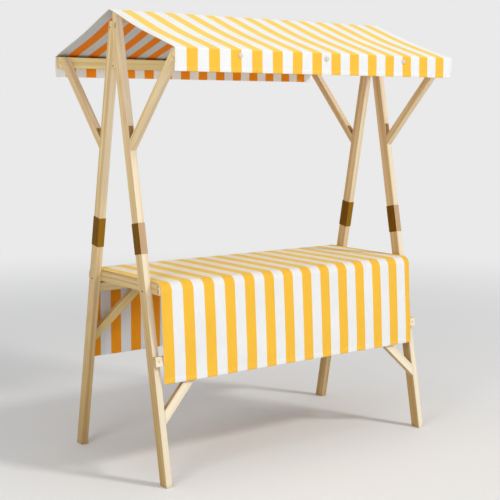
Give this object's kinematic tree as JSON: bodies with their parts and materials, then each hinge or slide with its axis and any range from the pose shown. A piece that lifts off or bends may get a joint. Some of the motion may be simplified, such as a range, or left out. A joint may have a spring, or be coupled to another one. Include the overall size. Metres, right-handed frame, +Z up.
{
  "type": "wooden market stall",
  "caption": "Wooden market stall with leaning A-frame legs, knee-braced stretchers, a counter under a striped cloth, and a striped gable canopy with straight valances",
  "frame": {"origin": "on the ground, under the middle of the stall: halfway between the two A-frames and halfway between the front and rear feet", "axes": "+Z up; the front of the stall faces -Y; +X runs along the ridge and the counter, to the right as seen from the front"},
  "size_m": [1.5, 1.008, 1.94],
  "materials": {
    "pine": "sanded pine, matt clear varnish",
    "brown_steel": "satin brown enamel",
    "striped_canvas": "woven cotton canvas in yellow and white stripes, shown here in their mean yellow",
    "pale_buttons": "moulded, slightly satin"
  },
  "bodies": {
    "root": {"left_front_leg_lower": "pine", "left_front_leg_upper": "pine", "left_front_leg_sleeve": "brown_steel", "left_rear_leg_lower": "pine", "left_rear_leg_upper": "pine", "left_rear_leg_sleeve": "brown_steel", "right_front_leg_lower": "pine", "right_front_leg_upper": "pine", "right_front_leg_sleeve": "brown_steel", "right_rear_leg_lower": "pine", "right_rear_leg_upper": "pine", "right_rear_leg_sleeve": "brown_steel", "left_apex_block": "pine", "right_apex_block": "pine", "left_front_roof_brace": "pine", "left_front_brace_bracket": "brown_steel", "left_rear_roof_brace": "pine", "left_rear_brace_bracket": "brown_steel", "right_front_roof_brace": "pine", "right_front_brace_bracket": "brown_steel", "right_rear_roof_brace": "pine", "right_rear_brace_bracket": "brown_steel", "ridge_beam": "pine", "front_eave_rail": "pine", "rear_eave_rail": "pine", "left_side_rail": "pine", "right_side_rail": "pine", "front_counter_rail": "pine", "rear_counter_rail": "pine", "counter_boards": "pine", "left_counter_batten": "pine", "middle_counter_batten": "pine", "right_counter_batten": "pine", "front_stretcher": "pine", "rear_stretcher": "pine", "left_front_knee_brace": "pine", "right_front_knee_brace": "pine", "left_rear_knee_brace": "pine", "right_rear_knee_brace": "pine", "canopy": "striped_canvas", "tablecloth": "striped_canvas", "front_valance_buttons": "pale_buttons", "rear_valance_buttons": "pale_buttons"}
  },
  "joints": []
}
